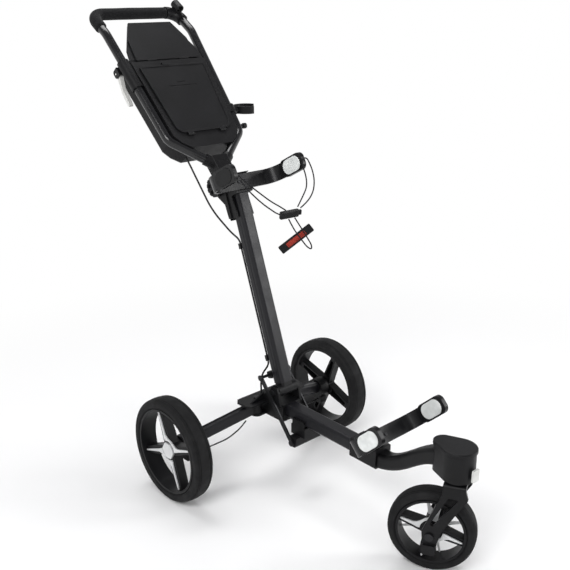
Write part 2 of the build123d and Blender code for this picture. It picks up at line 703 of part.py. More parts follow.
def leg_fittings(side):
    """Eye casting at the hub, brake collar at the wheel and the fixed axle."""
    eye = disc(eye_r, floor_z1 + gap, wing_z0 - gap, side * leg_pivot_x, leg_pivot_y)
    plug = tube_section(leg_w - 2 * leg_wall - 2 * seat, leg_h - 2 * leg_wall - 2 * seat, 6 - seat, 60, 4)
    neck = tube_section(leg_w, leg_h, 8, 60, 0)
    edge = leg_pivot_x + eye_r + 4 - seat
    near = block(min(side * leg_pivot_x, side * edge), max(side * leg_pivot_x, side * edge), -200, 100,
                 floor_z1 + gap, wing_z0 - gap)
    plane = leg_frame(side)
    far = block(min(side * edge, side * (edge + 30)), max(side * edge, side * (edge + 30)), -200, 100, 0, 400)
    eye += (put(plane, neck) & near) + (put(plane, plug) & far)
    eye -= disc(pin_r + fit, 100, 300, side * leg_pivot_x, leg_pivot_y)
    x0, x1 = sorted((side * (collar_face - 22), side * collar_face))
    collar = x_pin(collar_r, x0, x1, 0, rear_wheel_r)
    tab = block(x0, x1, -26, 6, rear_wheel_r - 42, rear_wheel_r - 20)
    collar += fillet(tab.edges().filter_by(Axis.X).sort_by(Axis.Z)[:2], 5)
    mouth = block(x0, x1, -26, 26, rear_wheel_r - 18, rear_wheel_r + 22)
    collar += fillet(mouth.edges().filter_by(Axis.X), 8)
    collar -= x_pin(axle_r + seat, x0 - 1, x1 + 1, 0, rear_wheel_r)
    collar -= x_pin(brake_pin_r + fit, x0 - 1, x1 + 1, 0, rear_wheel_r + brake_r)
    a0, a1 = sorted((side * (collar_face - 20), side * (track_half + spoke_face - 1)))
    shaft = x_pin(axle_r, a0, a1, 0, rear_wheel_r)
    return group(eye, collar, shaft)


pin_travel = 5.0


def brake_pin(side):
    """Locking plunger in the collar, just short of the slots in the wheel hub."""
    x0, x1 = sorted((side * (collar_face - 18), side * (collar_face - 0.3)))
    return x_pin(brake_pin_r, x0, x1, 0, rear_wheel_r + brake_r)


def rear_rim(first):
    """Rear rim with a slotted brake flange at the inner end of its hub."""
    body = rim(rear_rim_r, rear_wheel_w, first, hub_in_rear, False)
    flange = disc(hub_r + 7, hub_in_rear, hub_in_rear + 8)
    flange -= disc(hub_r - 2, hub_in_rear - 1, hub_in_rear + 9)
    body += flange
    for n in range(12):
        slot = block(brake_r - 5, brake_r + 5, -brake_pin_r - 0.6, brake_pin_r + 0.6, hub_in_rear - 1,
                     hub_in_rear + pin_travel + 1.5)
        body -= Rot(0, 0, 30 * n) * slot
    return body


# ---- handle -------------------------------------------------------------------------------
# In the handle frame X is across, Y runs back and down from the handle, Z runs along it.
yoke_half = clevis_half - clevis_t - gap
socket_x = 20.0
socket_q = 62.0
bend_x = 124.0
bend_q = 150.0
loop_half = 146.0
loop_turn = radians(loop_angle)
loop_end = (loop_half, -handle_p + loop_len * sin(loop_turn), loop_bend_q + loop_len * cos(loop_turn))


def tube_x(q):
    """Middle of a handle tube at a distance along the handle."""
    return bend_x + (loop_half - bend_x) * (q - bend_q) / (loop_bend_q - bend_q)


def tube_at(q):
    """Frame on the left handle tube, Z along it."""
    slope = (loop_half - bend_x) / (loop_bend_q - bend_q)
    return Plane(origin=(-tube_x(q), -handle_p, q), x_dir=(0, 1, 0), z_dir=(-slope, 0, 1))


def swept_ring(path, outer, inner):
    start = path @ 0
    section = Plane(origin=start, z_dir=path % 0)
    return sweep(section * Circle(outer), path) - sweep(section * Circle(inner), path)


def handle_path():
    y = -handle_p
    half = [(socket_x, y, socket_q), (bend_x, y, bend_q), (loop_half, y, loop_bend_q), loop_end]
    other = [(-px, py, pz) for px, py, pz in reversed(half)]
    radii = [34, 80, loop_corner]
    return FilletPolyline(*(half + other), radius=radii + radii[::-1])


def handle_tube():
    """One bent tube: up both sides of the console, the loop turned back at its top."""
    body = swept_ring(handle_path(), tube_r, tube_r - handle_wall)
    screw = x_pin(thumb_r + seat, tube_x(thumb_q), tube_x(thumb_q) + 20, -handle_p, thumb_q)
    return put(handle_plane, body - screw)


thumb_q = 166.0
thumb_r = 3.0
grip_len = 66.0


def grip():
    """Foam sleeve over the left bend and the cross bar, ending at the accessory clamp."""
    x, y, z = loop_end
    start = (-x, y - grip_len * sin(loop_turn), z - grip_len * cos(loop_turn))
    path = FilletPolyline(start, (-x, y, z), (x - loop_corner - 2, y, z), radius=loop_corner)
    return put(handle_plane, swept_ring(path, grip_r, tube_r + seat))


def handle_yoke():
    """Moulded knuckle: a barrel on the tilt bolt and a split socket for each end of the tube."""
    body = x_pin(19, -yoke_half, yoke_half)
    body += block(-yoke_half, yoke_half, -17, 12, 4, 40)
    head = soft_block(-27, 27, -handle_p - 18, 9, 33, 78, 5)
    body += head
    angle = degrees(atan2(bend_x - socket_x, bend_q - socket_q))
    for side in (-1, 1):
        socket = Pos(side * socket_x, -handle_p, socket_q) * (Rot(0, side * angle, 0) * disc(tube_r + 3.5, -8, 26))
        body += socket
    for side in (-1, 1):
        bore = Pos(side * socket_x, -handle_p, socket_q) * (Rot(0, side * angle, 0) * disc(tube_r + seat, -0.5, 60))
        body -= bore
    body -= block(-60, 60, -60, -handle_p - 17, 57, 57.8)
    body -= x_pin(tilt_bolt_r + fit, -60, 60)
    body = body.solids().sort_by(SortBy.VOLUME)[-1]
    return put(handle_plane, body)


# ---- console ------------------------------------------------------------------------------
tray_wall = 3.0
tray_q0 = 112.0
tray_q1 = 400.0
lid_hinge_q = lid_q0 - 6.0
flap_q0 = 404.0
deck_t = 4.0
flap_t = 4.0
flap_under = -console_top + 3.0


def tray_half(q):
    return tube_x(q) - tube_r - gap


def console_tray():
    """Deep console shell between the tubes, open at the lid, with a deck above it for the flap."""
    h0, h1 = tray_half(bend_q + 6), tray_half(tray_q1)
    outline = make_face(Polyline((-70, tray_q0), (70, tray_q0), (96, tray_q0 + 20), (h0, bend_q + 6),
                                 (h1, tray_q1), (-h1, tray_q1), (-h0, bend_q + 6), (-96, tray_q0 + 20), close=True))
    body = Pos(0, -console_top, 0) * extrude(Plane.XZ * outline, -(console_top + console_deep))
    body = fillet(body.faces().sort_by(Axis.Y)[-1].outer_wire().edges(), 14)
    c0, c1 = lid_half0 - 4, lid_half1 - 4
    mouth = make_face(Polyline((-c0 + 16, lid_q0 + 6), (c0 - 16, lid_q0 + 6), (c0, lid_q0 + 22), (c1, lid_q1 - 5),
                               (-c1, lid_q1 - 5), (-c0, lid_q0 + 22), close=True))
    body -= Pos(0, -console_top - 1, 0) * extrude(Plane.XZ * mouth, -(console_top + console_deep - tray_wall + 1))
    deck = make_face(Polyline((-h1, tray_q1 - 4), (h1, tray_q1 - 4), (h1 - 8, tray_q1 + 40), (74, flap_q1 - 6),
                              (-74, flap_q1 - 6), (-h1 + 8, tray_q1 + 40), close=True))
    body += Pos(0, flap_under + gap, 0) * extrude(Plane.XZ * deck, -deck_t)
    body -= x_pin(lid_knuckle_r + gap, -h1 - 5, h1 + 5, flap_under - 1, flap_q0 + 1)
    body -= Pos(cable_exit[0], cable_exit[1], 0) * disc(cable_r + seat, tray_q0 - 5, tray_q0 + 9)
    path = handle_path()
    body -= sweep(Plane(origin=path @ 0, z_dir=path % 0) * Circle(tube_r + seat), path)
    body -= tube_at(bracket_q0).location * disc(sleeve_r + seat, -0.5, bracket_q1 - bracket_q0 + 0.5)
    holder = tube_at(holder_q)
    body -= mirror(holder.location * disc(holder_sleeve_r + seat, -13.5, 13.5), Plane.YZ)
    return put(handle_plane, body.solids().sort_by(SortBy.VOLUME)[-1])


cable_exit = (-66.0, 20.0)


def console_lid():
    """Lid with rounded lower corners, a raised rim and a pull tab; hinged at its lower edge."""
    outline = make_face(Polyline((-lid_half0, lid_q0), (lid_half0, lid_q0), (lid_half1, lid_q1),
                                 (-lid_half1, lid_q1), close=True))
    low = outline.vertices().sort_by(Axis.Y)[:2]
    outline = fillet(low, 26)
    outline = fillet(outline.vertices().sort_by(Axis.Y)[-2:], 7)
    top = -console_top - gap
    body = Pos(0, top, 0) * extrude(Plane.XZ * outline, lid_t)
    inner = offset(outline, amount=-6)
    body -= Pos(0, top - lid_t + 1.4, 0) * extrude(Plane.XZ * inner, 3)
    for n in (0, 1):
        width = 15 + 32 * n
        z = lid_q1 - 62 - 12 * n
        body -= block(-width, width, top - lid_t, top - lid_t + 2.4, z, z + 3.5)
    tab = block(-34, -12, top - lid_t - 1, top, lid_q1 - 3, lid_q1 + 9)
    body += fillet(tab.edges().filter_by(Axis.Y).sort_by(Axis.Z)[-2:], 3)
    for x in (-55, 55):
        body += x_pin(lid_knuckle_r, x - 10, x + 10, lid_hinge_y, lid_hinge_q)
        body += block(x - 10, x + 10, lid_hinge_y - 2, top - 0.5, lid_hinge_q, lid_q0 + 4)
    body -= x_pin(1.5 + fit, -80, 80, lid_hinge_y, lid_hinge_q)
    return put(handle_plane, body)


lid_knuckle_r = 3.2
lid_hinge_y = -console_top - gap - lid_knuckle_r


def flap_edge(inset):
    h0 = lid_half1 - 6 - inset
    return make_face(Polyline((-h0, flap_q0 + inset), (h0, flap_q0 + inset), (h0 - 6, flap_q0 + 70),
                              (h0 - 34, flap_q1 - inset), (-h0 + 34, flap_q1 - inset), (-h0 + 6, flap_q0 + 70),
                              close=True))


def console_flap():
    """Card holder flap over the deck, hinged beside the lid."""
    top = flap_under
    body = Pos(0, top, 0) * extrude(Plane.XZ * flap_edge(0), flap_t)
    body = fillet(body.edges().filter_by(Axis.Y), 3)
    body += x_pin(lid_knuckle_r, -70, -40, top - 1, flap_q0 + 1)
    body += x_pin(lid_knuckle_r, 40, 70, top - 1, flap_q0 + 1)
    body -= x_pin(1.5 + fit, -80, 80, top - 1, flap_q0 + 1)
    body -= block(-90, 90, top + 0.1, top + 5, flap_q0 - 5, flap_q0 + 6)
    return put(handle_plane, body)


# ---- brake lever and clamps on the handle -------------------------------------------------
lever_q = 396.0
lever_y = 12.0
bracket_q0 = 322.0
bracket_q1 = 412.0
sleeve_r = tube_r + 4.5


def lever_place():
    return Pos(-tube_x(lever_q) - 8, lever_y, lever_q)


def brake_bracket():
    """Moulded sleeve on the left tube with two ears for the brake lever."""
    frame = tube_at(bracket_q0)
    sleeve = frame.location * ring(sleeve_r, tube_r + seat, 0, bracket_q1 - bracket_q0)
    ears = block(-11, 11, -14, 9, -12, 12)
    ears = fillet(ears.edges().filter_by(Axis.X).sort_by(Axis.Y)[-2:], 7)
    ears -= block(-6.3, 6.3, -9, 12, -14, 14)
    ears -= x_pin(2.5 + seat, -20, 20)
    body = sleeve + lever_place() * ears
    body -= frame.location * disc(tube_r + seat, -1, bracket_q1 - bracket_q0 + 1)
    return put(handle_plane, body)


def brake_lever():
    """Pale finger lever below its pin, with the pin in it."""
    outline = make_face(Polyline((-7, 7), (-7, -7), (9, -40), (13, -92), (18, -96), (22, -92), (20, -50),
                                 (7, -4), (5, 7), close=True))
    outline = fillet(outline.vertices().sort_by(Axis.Y)[-2:], 3)
    body = Pos(-6, 0, 0) * extrude(Plane.YZ * outline, 12)
    body += x_pin(2.5, -11, 11)
    return put(handle_plane, lever_place() * body)


holder_q = 222.0
holder_r = 36.0
holder_sleeve_r = tube_r + 5.0


def cup_holder():
    """Open ring on the right tube for a bottle or an umbrella shaft, and its clamp."""
    mirror_frame = Plane(origin=(tube_x(holder_q), -handle_p, holder_q), x_dir=(0, 1, 0),
                         z_dir=((loop_half - bend_x) / (loop_bend_q - bend_q), 0, 1))
    clamp = put(mirror_frame, ring(holder_sleeve_r, tube_r + seat, -13, 13))
    arm = block(tube_x(holder_q) + tube_r + 2, tube_x(holder_q) + tube_r + 14, -handle_p - 9, -handle_p + 9,
                holder_q - 10, holder_q + 10)
    clamp += arm
    clamp -= put(mirror_frame, disc(tube_r + seat, -15, 15))
    clamp = put(handle_plane, clamp)
    centre = handle_plane.from_local_coords(Vector(tube_x(holder_q) + tube_r + 12 + holder_r, -handle_p, holder_q))
    band = ring(holder_r, holder_r - 4, -11, 11)
    band -= Rot(0, 0, -40) * block(8, 60, -26, 26, -12, 12)
    band = Pos(centre.X, centre.Y, centre.Z) * band
    return clamp + band


socket_bore = 9.0
socket_len = 30.0


def accessory_clamp():
    """Clamp round the right bend of the loop with an umbrella socket, and the console's thumb screw."""
    x, y, z = loop_end
    run = loop_corner + 1.0
    path = FilletPolyline((x, y - run * sin(loop_turn), z - run * cos(loop_turn)), loop_end, (x - run, y, z),
                          radius=loop_corner)
    section = Plane(origin=path @ 0, z_dir=path % 0)
    inset = loop_corner * (1 - sin(radians(45)))
    frame = Plane(origin=(x - inset, y - inset * sin(loop_turn), z - inset * cos(loop_turn)),
                  x_dir=(1, 0, 0), z_dir=(0, sin(loop_turn), cos(loop_turn)))
    boss = disc(socket_bore + 4, -socket_len / 2, socket_len / 2, 0, -tube_r - 17)
    bridge = block(-9, 9, -tube_r - 10, -tube_r + 4, -11, 11)
    body = sweep(section * Circle(tube_r + 5), path) + put(frame, boss + bridge)
    body -= sweep(section * Circle(tube_r + seat), path)
    clamp = body - put(frame, disc(socket_bore, -socket_len, socket_len, 0, -tube_r - 17))
    x0 = tube_x(thumb_q) + tube_r
    screw = x_pin(thumb_r, x0 - 5, x0 + 3, -handle_p, thumb_q) + x_pin(4.5, x0 + 0.5, x0 + 8, -handle_p, thumb_q)
    knob = x_pin(8, x0 + 8, x0 + 19, -handle_p, thumb_q)
    for n in range(8):
        a = radians(45 * n)
        knob -= x_pin(1.8, x0 + 7, x0 + 20, -handle_p + 8.4 * cos(a), thumb_q + 8.4 * sin(a))
    return put(handle_plane, group(clamp, screw + knob))


# ---- brake cable --------------------------------------------------------------------------
clip_s = 408.0
low_clip_s = 92.0
cable_x = -tube_w / 2 + 4
cable_t = tube_d / 2 + cable_r + 1.2


def round_tube(points, radii, r):
    path = FilletPolyline(*points, radius=radii) if radii else Polyline(*points)
    return sweep(Plane(origin=path @ 0, z_dir=path % 0) * Circle(r), path)


def corner_radii(points):
    """0.45 of the shorter run beside each corner, over the tangent of half the turn."""
    radii = []
    for a, b, c in zip(points, points[1:], points[2:]):
        one, two = Vector(*b) - Vector(*a), Vector(*c) - Vector(*b)
        half = radians(one.get_angle(two)) / 2
        radii.append(0.45 * min(one.length, two.length) / tan(half))
    return radii


def column_point(x, t, s):
    return tuple(column_plane.from_local_coords(Vector(x, t, s)))


def handle_point(x, y, q):
    return tuple(handle_plane.from_local_coords(Vector(x, y, q)))


def brake_cable():
    """Cable housing held along the back of the column, with its two clips."""
    run = [column_point(cable_x, cable_t, clip_s - 8), column_point(cable_x, cable_t, low_clip_s + 8)]
    housing = round_tube(run, None, cable_r)
    clips = []
    for s in (clip_s, low_clip_s):
        clip = soft_block(cable_x - 6, cable_x + 6, tube_d / 2 + seat, cable_t + cable_r + 2, s - 8, s + 8, 2)
        clip -= disc(cable_r + seat, s - 20, s + 20, cable_x, cable_t)
        clips.append(put(column_plane, clip))
    return group(housing, *clips)


hub_gland = (-24.0, -52.0)


def brake_cable_spans():
    """The two stretches that flex: over the tilt joint, and from the column down into the hub."""
    upper = [handle_point(cable_exit[0], cable_exit[1], tray_q0 + 6), handle_point(cable_exit[0], cable_exit[1], 92),
             column_point(-52, 66, 520), column_point(-26, 40, 450), column_point(cable_x, cable_t, 426),
             column_point(cable_x, cable_t, clip_s - 7)]
    top = wing_z0 + wing_t + seat
    lower = [column_point(cable_x, cable_t, low_clip_s + 7), column_point(cable_x, cable_t, 74),
             (-30, hinge_y + 62, 300), (-30, hinge_y + 66, 268), (hub_gland[0], hub_gland[1], 252),
             (hub_gland[0], hub_gland[1], top)]
    return group(round_tube(upper, corner_radii(upper), cable_r), round_tube(lower, corner_radii(lower), cable_r))


def leg_cable(side):
    """Brake cable slung under a rear leg, from the collar's tab to the eye."""
    points = [(side * (collar_face - 22.7), -10, rear_wheel_r - 32), (side * (collar_face - 44), -14, 114),
              (side * 178, -32, 126), (side * 142, -46, 136), (side * 108, -56, 158), (side * 86, -58, 176)]
    return round_tube(points, corner_radii(points), cable_r - 0.5)


# ---- bungee -------------------------------------------------------------------------------
bungee_r = 1.8
bungee_routes = {
    "bungee_strand_a": [(-109.5, -78, 862), (-105, -94, 844), (-94, -112, 824), (-73, -124, 801), (-42, -122, 780),
                        (-20, -114, 767), (4, -108, 757)],
    "bungee_strand_b": [(-109.5, -71, 872), (-100, -82, 858), (-82, -94, 840), (-56, -101, 818), (-26, -102, 796),
                        (4, -100, 779), (28, -97, 764)],
    "bungee_loop": [(64, -115, 768), (84, -120, 781), (108, -118, 804), (124, -106, 830), (132, -90, 854),
                    (132, -80, 870), (126, -74, 887), (110, -74, 887), (104, -80, 870), (106, -92, 844),
                    (102, -100, 818), (90, -101, 798), (69, -99, 767)],
    "bungee_tail": [(30, -106, 742), (36, -113, 723), (46, -120, 703), (54, -132, 685), (62, -142, 668),
                    (72, -150, 660), (78, -144, 670), (70, -136, 689), (63, -127, 708), (53, -121, 726),
                    (47, -111, 744)],
}
toggle_plane = Plane(origin=(32, -106, 755), x_dir=(0.93, -0.2, 0.1), z_dir=(0.25, 0.85, 0.3))
tag_plane = Plane(origin=(50.5, -113, 686), x_dir=(0.74, -0.5, 0.68), z_dir=(0.55, 0.85, 0.05))


def report_radii():
    for name, points in bungee_routes.items():
        radii = ", ".join(f"{r:.1f}" for r in corner_radii(points))
        print(f"{name} arc radii: {radii}")


def bungee_fittings():
    """Cord lock with its button, and the cloth tab on the tail."""
    lock = soft_block(-27, 27, -9, 9, -6, 6, 4, Axis.Y)
    button = soft_block(27.2, 35, -6, 6, -4, 4, 2, Axis.Y)
    tab = soft_block(-52, 52, -12, 12, -1.5, 1.5, 3)
    return group(put(toggle_plane, lock), put(toggle_plane, button), put(tag_plane, tab))


# ---- write every sub-part -----------------------------------------------------------------
rear_arms = 21.0            # angle of the first spoke
front_arms = 75.0


def write_wheels():
    for side, name in ((-1, "rear_left"), (1, "rear_right")):
        plane = wheel_plane(side, track_half, 0, rear_wheel_r)
        strips = [trim(rear_rim_r, rear_arms), trim(rear_rim_r, rear_arms + 180), hub_cap()]
        save(put(plane, tyre(rear_wheel_r, rear_wheel_w, rear_rim_r)), f"{name}_tyre")
        save(put(plane, rear_rim(rear_arms)), f"{name}_rim")
        save(put(plane, group(*strips)), f"{name}_trims")
        save(put(plane, group(bearing(spoke_face - bearing_w - 3), bearing(hub_in_rear))), f"{name}_bearings")
    strips = [trim(front_rim_r, front_arms), trim(front_rim_r, front_arms + 180)]
    strips += [Rot(180, 0, 0) * strip for strip in strips]
    hub_end = front_wheel_w / 2 + 5
    save(put(front_plane, tyre(front_wheel_r, front_wheel_w, front_rim_r)), "front_tyre")
    save(put(front_plane, rim(front_rim_r, front_wheel_w, front_arms, -hub_end, True)), "front_rim")
    save(put(front_plane, group(*strips)), "front_trims")
    save(put(front_plane, group(bearing(spoke_face - bearing_w - 3), bearing(-hub_end))), "front_bearings")


def write_legs():
    for side, name in ((-1, "left"), (1, "right")):
        save(rear_leg(side), f"rear_leg_{name}")
        save(leg_fittings(side), f"rear_leg_{name}_fittings")
        save(brake_pin(side), f"brake_pin_{name}")
        save(leg_cable(side), f"leg_cable_{name}")


def column_foot():
    return group(hinge_barrel(), link_lug())


def write_pieces():
    pieces = {
        "column_tube": column_tube(), "column_foot": column_foot(), "hub_casting": hub_casting(),
        "front_leg": front_leg(), "front_connector": front_connector(), "gooseneck": gooseneck(),
        "steering_head": steering_head(), "head_cap": head_cap(), "swivel_bearings": swivel_bearings(),
        "swivel_lock": swivel_lock(), "caster_fork": caster_fork(), "caster_pins": caster_pins(),
        "frame_fasteners": group(pivot_pins(), *cradle_screws(lower_cradle)),
        "fold_links": fold_links(), "fold_slider": fold_slider(), "column_head": top_casting(),
        "column_fasteners": group(tilt_bolt(), tilt_disc(), *cradle_screws(upper_cradle)),
        "upper_cradle": group(cradle_band_solid(upper_cradle), cradle_paddles(upper_cradle)),
        "upper_cradle_pads": cradle_pads(upper_cradle),
        "lower_cradle": group(cradle_band_solid(lower_cradle), cradle_paddles(lower_cradle)),
        "lower_cradle_pads": cradle_pads(lower_cradle),
        "tilt_knob": tilt_knob(), "handle_yoke": handle_yoke(), "handle_tube": handle_tube(),
        "grip": grip(), "console_tray": console_tray(), "console_lid": console_lid(),
        "console_flap": console_flap(), "brake_bracket": brake_bracket(), "brake_lever": brake_lever(),
        "cup_holder": cup_holder(), "handle_clamps": accessory_clamp(), "brake_cable": brake_cable(),
        "brake_cable_spans": brake_cable_spans(), "bungee_fittings": bungee_fittings(),
    }
    for name, shape in pieces.items():
        save(shape, name)
    for name, points in bungee_routes.items():
        save(round_tube(points, corner_radii(points), bungee_r), name)


write_wheels()
write_legs()
write_pieces()
report_radii()
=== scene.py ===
import bmesh
import bpy
import json
from math import cos, pi, radians, sin
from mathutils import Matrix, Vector


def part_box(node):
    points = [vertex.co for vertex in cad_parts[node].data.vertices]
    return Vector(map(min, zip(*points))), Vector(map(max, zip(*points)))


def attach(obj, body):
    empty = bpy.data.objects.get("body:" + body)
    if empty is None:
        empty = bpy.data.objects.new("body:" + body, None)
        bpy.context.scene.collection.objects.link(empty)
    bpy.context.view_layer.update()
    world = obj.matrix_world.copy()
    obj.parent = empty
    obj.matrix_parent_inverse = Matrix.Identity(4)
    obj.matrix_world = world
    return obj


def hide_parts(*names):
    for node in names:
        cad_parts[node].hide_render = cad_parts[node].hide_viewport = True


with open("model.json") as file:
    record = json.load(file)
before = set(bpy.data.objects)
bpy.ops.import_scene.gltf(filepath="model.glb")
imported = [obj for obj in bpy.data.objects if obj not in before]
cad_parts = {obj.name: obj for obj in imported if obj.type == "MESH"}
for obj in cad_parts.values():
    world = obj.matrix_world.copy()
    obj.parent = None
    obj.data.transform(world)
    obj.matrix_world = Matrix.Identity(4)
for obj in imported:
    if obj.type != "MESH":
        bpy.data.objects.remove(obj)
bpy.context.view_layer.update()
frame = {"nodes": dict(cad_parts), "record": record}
nodes = frame["nodes"]

# The rear axle line gives the shift between part.py's working frame and the row frame.
low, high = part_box("rear_left_tyre")
axle_y = (low.y + high.y) / 2

# Sizes shared with part.py, in millimetres and degrees.
HALF_TRACK = 295            # middle of a rear wheel from the centre plane
REAR_WHEEL_R = 145
REAR_TRIM_TIP = 109         # reach of the bright strips from the axle
REAR_FIRST_SPOKE = 21
FRONT_WHEEL_R = 106
FRONT_TRIM_TIP = 75
FRONT_FIRST_SPOKE = 75
CASTER_Y = -705             # caster axis, from the rear axle line
CASTER_TRAIL = 50           # front axle behind the caster axis
CASTER_TURN = radians(28)
STRIP_BACK, STRIP_FACE, CAP_FACE = 12.2, 16.1, 18.0     # depths across a wheel
CAP_CORNER = 24.2           # hub cap, middle to corner
SHARP_EDGE = radians(32)    # edges steeper than this stay sharp


# ---- materials ------------------------------------------------------------------------------
class Finish:
    """A procedural material: colour and roughness varied by noise, and a bump."""

    def __init__(self, name, color, rough, metallic=0.0, coat=0.0, coat_rough=0.1, spec=0.5):
        self.material = bpy.data.materials.new(name)
        self.material.use_nodes = True
        self.tree = self.material.node_tree
        self.shader = self.tree.nodes["Principled BSDF"]
        self.shader.inputs["Base Color"].default_value = (*color, 1)
        self.shader.inputs["Roughness"].default_value = rough
        self.shader.inputs["Metallic"].default_value = metallic
        self.shader.inputs["Coat Weight"].default_value = coat
        self.shader.inputs["Coat Roughness"].default_value = coat_rough
        self.shader.inputs["Specular IOR Level"].default_value = spec
        self.coords = self.node("ShaderNodeTexCoord").outputs["Object"]
        self.normal = None

    def node(self, kind, **inputs):
        made = self.tree.nodes.new(kind)
        for key, value in inputs.items():
            made.inputs[key.replace("_", " ")].default_value = value
        return made

    def link(self, a, b):
        self.tree.links.new(a, b)

    def stretched(self, scale, turn=(0, 0, 0)):
        mapping = self.node("ShaderNodeMapping")
        mapping.inputs["Scale"].default_value = scale
        mapping.inputs["Rotation"].default_value = turn
        self.link(self.coords, mapping.inputs["Vector"])
        return mapping.outputs["Vector"]

    def noise(self, scale, detail=3.0, rough=0.5, vector=None):
        noise = self.node("ShaderNodeTexNoise", Scale=scale, Detail=detail, Roughness=rough)
        self.link(vector if vector else self.coords, noise.inputs["Vector"])
        return noise.outputs["Fac"]

    def ramp(self, source, low, high, dark, light):
        ramp = self.node("ShaderNodeValToRGB")
        ramp.color_ramp.elements[0].position, ramp.color_ramp.elements[1].position = low, high
        ramp.color_ramp.elements[0].color, ramp.color_ramp.elements[1].color = (*dark, 1), (*light, 1)
        self.link(source, ramp.inputs["Fac"])
        return ramp.outputs["Color"]

    def vary_color(self, source, low, high, dark, light):
        self.link(self.ramp(source, low, high, dark, light), self.shader.inputs["Base Color"])
        return self

    def vary_rough(self, source, a, b):
        span = self.node("ShaderNodeMapRange")
        span.inputs["From Min"].default_value, span.inputs["From Max"].default_value = 0.3, 0.7
        span.inputs["To Min"].default_value, span.inputs["To Max"].default_value = a, b
        self.link(source, span.inputs["Value"])
        self.link(span.outputs["Result"], self.shader.inputs["Roughness"])
        return self

    def bump(self, source, height, strength=1.0):
        """height in metres."""
        bump = self.node("ShaderNodeBump", Strength=strength, Distance=height)
        self.link(source, bump.inputs["Height"])
        if self.normal:
            self.link(self.normal, bump.inputs["Normal"])
        self.normal = bump.outputs["Normal"]
        return self

    def soften(self, radius):
        """Rounds the look of hard edges, as on a moulding."""
        bevel = self.node("ShaderNodeBevel", Radius=radius)
        bevel.samples = 6
        self.normal = bevel.outputs["Normal"]
        return self

    def done(self):
        if self.normal:
            self.link(self.normal, self.shader.inputs["Normal"])
        return self.material


def moulded(name, dark, light, rough, grain, radius=0.0009, spec=0.2):
    f = Finish(name, light, rough, spec=spec).soften(radius)
    f.vary_color(f.noise(9.0, 4), 0.3, 0.75, dark, light)
    f.vary_rough(f.noise(22.0, 5), rough - 0.05, rough + 0.07)
    return f.bump(f.noise(1500.0, 2), grain, 0.6).bump(f.noise(180.0, 2), grain * 1.5, 0.25).done()


def anodised():
    f = Finish("anodised_tube", (0.016, 0.016, 0.019), 0.40, metallic=0.1, spec=0.3).soften(0.0006)
    lines = f.noise(60.0, 4, 0.6, f.stretched((14, 14, 0.35)))
    f.vary_color(lines, 0.3, 0.7, (0.005, 0.005, 0.0065), (0.010, 0.010, 0.0125))
    f.vary_rough(f.noise(30.0, 5), 0.29, 0.40)
    return f.bump(f.noise(900.0, 2), 0.00003, 0.5).done()


def glossy():
    f = Finish("gloss_black", (0.006, 0.006, 0.007), 0.32, coat=0.1, coat_rough=0.2, spec=0.22).soften(0.0010)
    f.vary_color(f.noise(7.0, 3), 0.3, 0.7, (0.003, 0.003, 0.0035), (0.006, 0.006, 0.007))
    f.vary_rough(f.noise(40.0, 5), 0.28, 0.38)
    return f.bump(f.noise(70.0, 2), 0.00010, 0.35).bump(f.noise(900.0, 2), 0.00002, 0.3).done()


def tube_gloss():
    f = Finish("tube_gloss", (0.006, 0.006, 0.007), 0.24, coat=0.25, coat_rough=0.14, spec=0.35)
    f.vary_color(f.noise(12.0, 3), 0.3, 0.7, (0.004, 0.004, 0.005), (0.008, 0.008, 0.009))
    f.vary_rough(f.noise(50.0, 5), 0.18, 0.29)
    return f.bump(f.noise(1200.0, 3), 0.00004, 0.5).done()


def tyre_rubber():
    f = Finish("tyre", (0.008, 0.008, 0.0085), 0.74, spec=0.22)
    f.vary_color(f.noise(16.0, 5), 0.3, 0.72, (0.0045, 0.0045, 0.005), (0.010, 0.010, 0.0105))
    f.vary_rough(f.noise(45.0, 4), 0.62, 0.84)
    return f.bump(f.noise(700.0, 3), 0.00008, 0.6).bump(f.noise(90.0, 2), 0.00015, 0.25).done()


def silver():
    f = Finish("silver_trim", (0.74, 0.75, 0.76), 0.34, metallic=0.25, coat=0.3, coat_rough=0.15).soften(0.0008)
    f.vary_color(f.noise(20.0, 3), 0.3, 0.7, (0.58, 0.585, 0.59), (0.70, 0.71, 0.71))
    f.vary_rough(f.noise(60.0, 4), 0.28, 0.42)
    return f.bump(f.noise(1800.0, 2), 0.00002, 0.5).done()


def pale(name, dark, light, rough):
    f = Finish(name, light, rough).soften(0.0008)
    f.vary_color(f.noise(40.0, 5), 0.35, 0.7, dark, light)
    f.vary_rough(f.noise(70.0, 3), rough - 0.06, rough + 0.08)
    return f.bump(f.noise(1300.0, 2), 0.00004, 0.5).done()


def foam():
    f = Finish("foam", (0.008, 0.008, 0.0085), 0.93, spec=0.12)
    cells = f.node("ShaderNodeTexVoronoi", Scale=900.0)
    f.link(f.coords, cells.inputs["Vector"])
    f.vary_color(f.noise(240.0, 4), 0.3, 0.7, (0.004, 0.004, 0.0045), (0.013, 0.013, 0.014))
    f.shader.inputs["Sheen Weight"].default_value = 0.06
    f.shader.inputs["Sheen Roughness"].default_value = 0.5
    return f.bump(cells.outputs["Distance"], 0.00035, 0.7).bump(f.noise(120.0, 3), 0.0003, 0.4).done()


def metal(name, color, rough, black=False):
    f = Finish(name, color, rough, metallic=0.6 if black else 1.0).soften(0.0005)
    f.vary_rough(f.noise(300.0, 4, 0.6, f.stretched((1, 6, 6))), rough - 0.08, rough + 0.1)
    f.vary_color(f.noise(50.0, 3), 0.3, 0.7, tuple(c * 0.8 for c in color), color)
    return f.bump(f.noise(1500.0, 2), 0.00002, 0.5).done()


